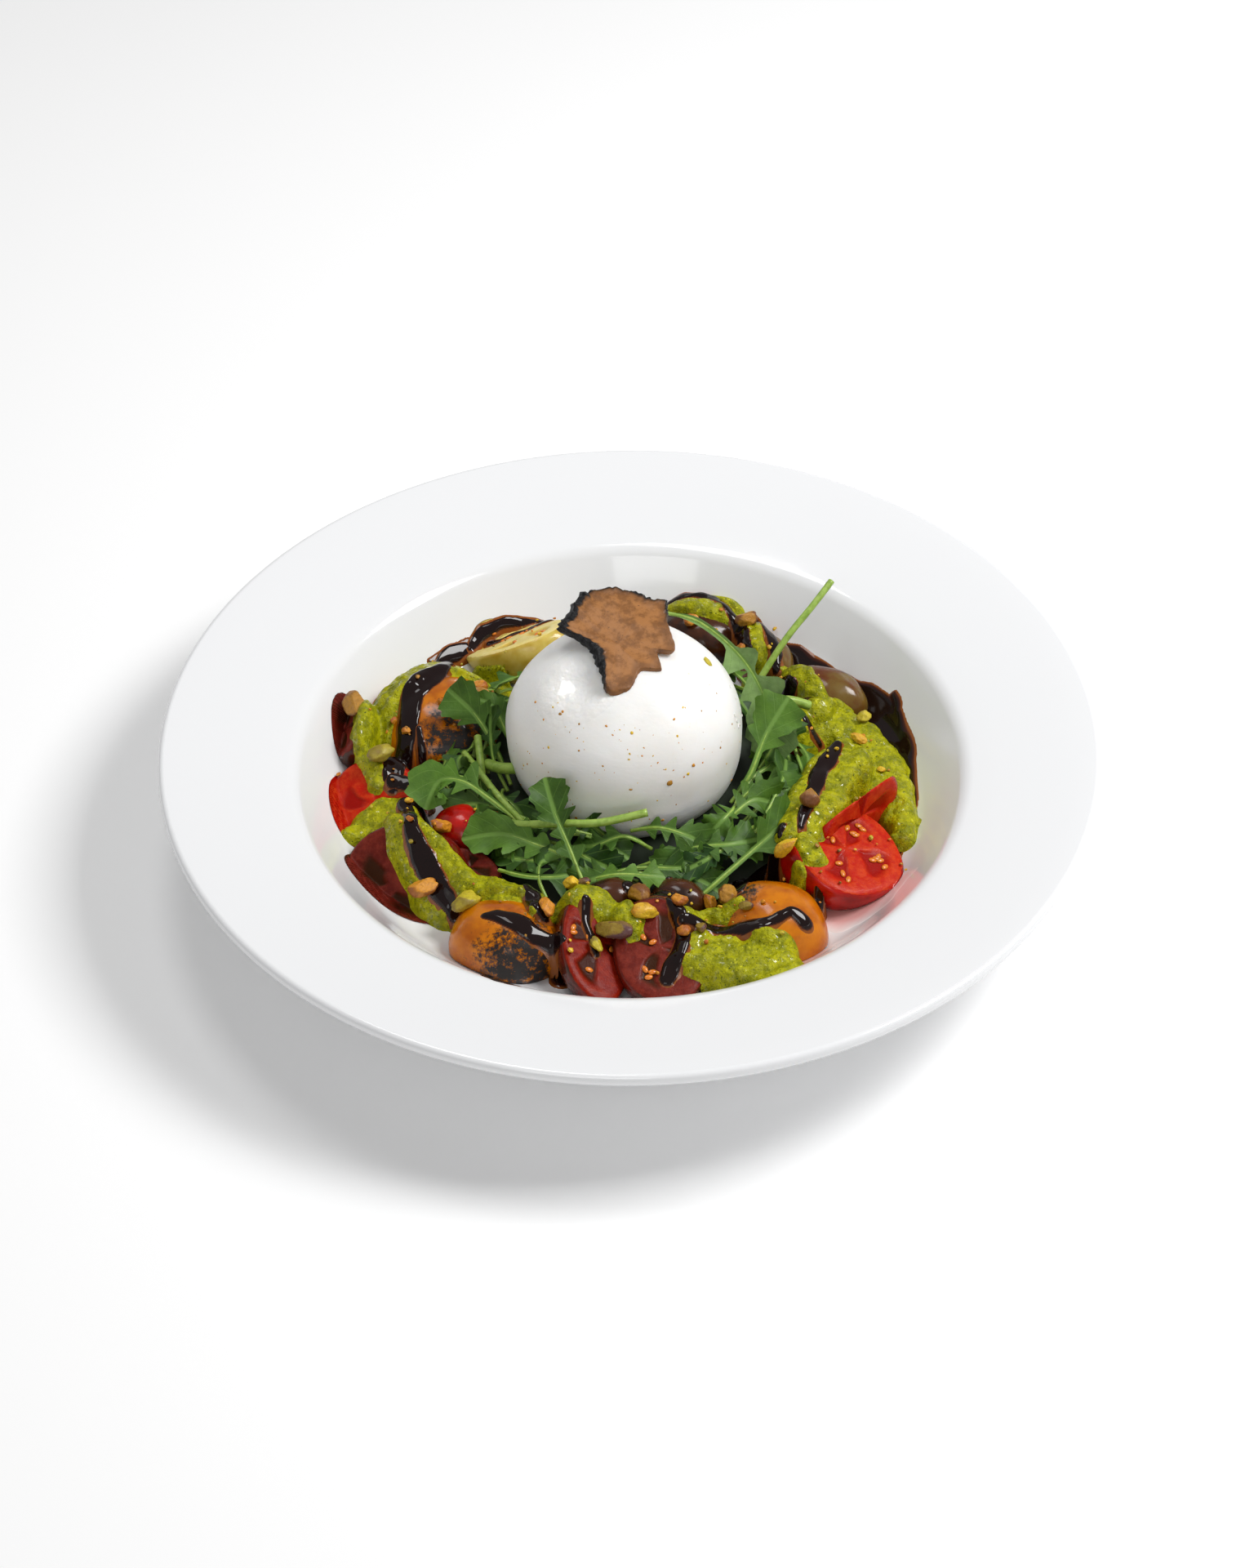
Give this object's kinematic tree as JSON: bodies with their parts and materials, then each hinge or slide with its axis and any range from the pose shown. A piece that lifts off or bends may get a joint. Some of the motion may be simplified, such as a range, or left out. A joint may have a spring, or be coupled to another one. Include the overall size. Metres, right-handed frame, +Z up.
{
  "type": "burrata salad on a plate",
  "caption": "Burrata on rocket in a wide-rimmed plate, ringed by cut tomatoes, pesto, balsamic and chopped pistachios, with a truffle slice on top.",
  "frame": {"origin": "on the table, under the middle of the plate", "axes": "+Z up; -Y is the front, the side with the wedges and the plum tomato; +X to the right, towards the red tomato half"},
  "size_m": [0.28, 0.28, 0.0711],
  "materials": {
    "porcelain": "gloss",
    "burrata": "satin",
    "truffle": "satin",
    "rocket": "satin",
    "pesto": "gloss",
    "balsamic": "gloss",
    "pistachio": "matte",
    "tomato_orange": "gloss",
    "tomato_yellow": "gloss",
    "tomato_red": "gloss",
    "tomato_plum": "gloss",
    "tomato_roast": "gloss",
    "tomato_olive": "gloss"
  },
  "bodies": {
    "root": {"burrata": "burrata", "pesto_back": "pesto", "pesto_front": "pesto", "pesto_front_left": "pesto", "pesto_front_right": "pesto", "pesto_left": "pesto", "pesto_right": "pesto", "pesto_right_outer": "pesto", "pesto_right_small": "pesto", "pistachio_01": "pistachio", "pistachio_02": "pistachio", "pistachio_03": "pistachio", "pistachio_04": "pistachio", "pistachio_05": "pistachio", "pistachio_06": "pistachio", "pistachio_07": "pistachio", "pistachio_08": "pistachio", "pistachio_09": "pistachio", "pistachio_10": "pistachio", "pistachio_11": "pistachio", "pistachio_12": "pistachio", "pistachio_13": "pistachio", "pistachio_14": "pistachio", "pistachio_15": "pistachio", "pistachio_16": "pistachio", "pistachio_17": "pistachio", "plate": "porcelain", "rocket_bed": "rocket", "tomato_dark_left": "tomato_plum", "tomato_olive_back": "tomato_olive", "tomato_olive_right": "tomato_olive", "tomato_orange_front": "tomato_orange", "tomato_orange_left": "tomato_orange", "tomato_orange_right": "tomato_orange", "tomato_pale_inner": "tomato_plum", "tomato_plum_front": "tomato_plum", "tomato_plum_left": "tomato_plum", "tomato_red_behind": "tomato_red", "tomato_red_inner": "tomato_red", "tomato_red_left": "tomato_red", "tomato_red_right": "tomato_red", "tomato_red_sliver": "tomato_red", "tomato_roast_back": "tomato_roast", "tomato_roast_front_left": "tomato_roast", "tomato_roast_front_right": "tomato_roast", "tomato_roast_right": "tomato_roast", "tomato_wedge_front": "tomato_plum", "tomato_yellow": "tomato_yellow", "truffle_slice": "truffle"}
  },
  "joints": []
}
